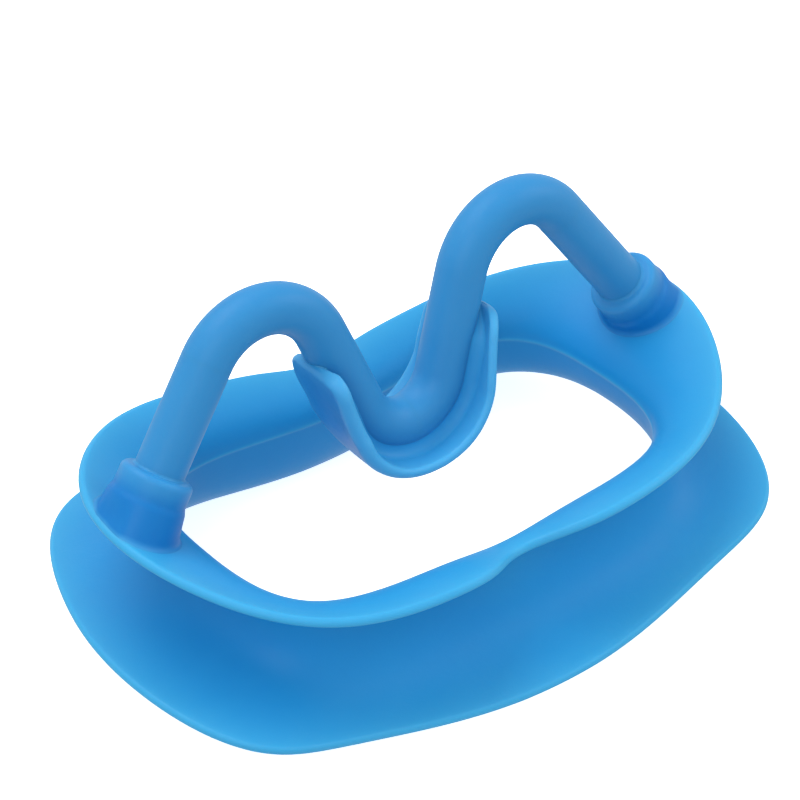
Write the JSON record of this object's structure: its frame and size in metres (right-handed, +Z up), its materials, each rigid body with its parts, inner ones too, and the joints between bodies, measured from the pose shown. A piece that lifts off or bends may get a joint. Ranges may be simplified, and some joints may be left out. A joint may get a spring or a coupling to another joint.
{
  "type": "intraoral lip and cheek retractor",
  "caption": "Soft one-size ring with a waist between two flared flanges that holds the lips open, and a W-shaped rod over it that carries a tongue shield.",
  "frame": {"origin": "centre of the footprint, in the plane the larger flange rests on", "axes": "+Z up, from the outer flange to the inner flange and the bow; X along the width of the mouth; -Y towards the side with the frenum relief"},
  "size_m": [0.0954, 0.066, 0.0458],
  "materials": {
    "ring": "satin translucent silicone, mid blue",
    "rod": "satin silicone, slightly deeper blue where it is thick",
    "shield": "satin translucent silicone, mid blue"
  },
  "bodies": {
    "ring": {"outer_flange": "ring", "neck_band": "ring", "inner_flange": "ring", "socket_boss_left": "ring", "socket_boss_right": "ring", "socket_collar_left": "ring", "socket_collar_right": "ring"},
    "arches": {"arch_left": "rod", "arch_right": "rod"},
    "guard": {"guard_rod": "rod", "tongue_shield": "shield"}
  },
  "joints": [
    {"name": "bow_swing", "type": "hinge", "parent": "ring", "child": "arches", "pos_m": [0, 0.00277, 0.02354], "axis": [1, 0, 0], "range_deg": [-12, 12], "stiffness_Nm_per_rad": 0.06},
    {"name": "guard_twist", "type": "hinge", "parent": "arches", "child": "guard", "pos_m": [0, 0.00545, 0.04267], "axis": [1, 0, 0], "range_deg": [-15, 15], "stiffness_Nm_per_rad": 0.04}
  ]
}
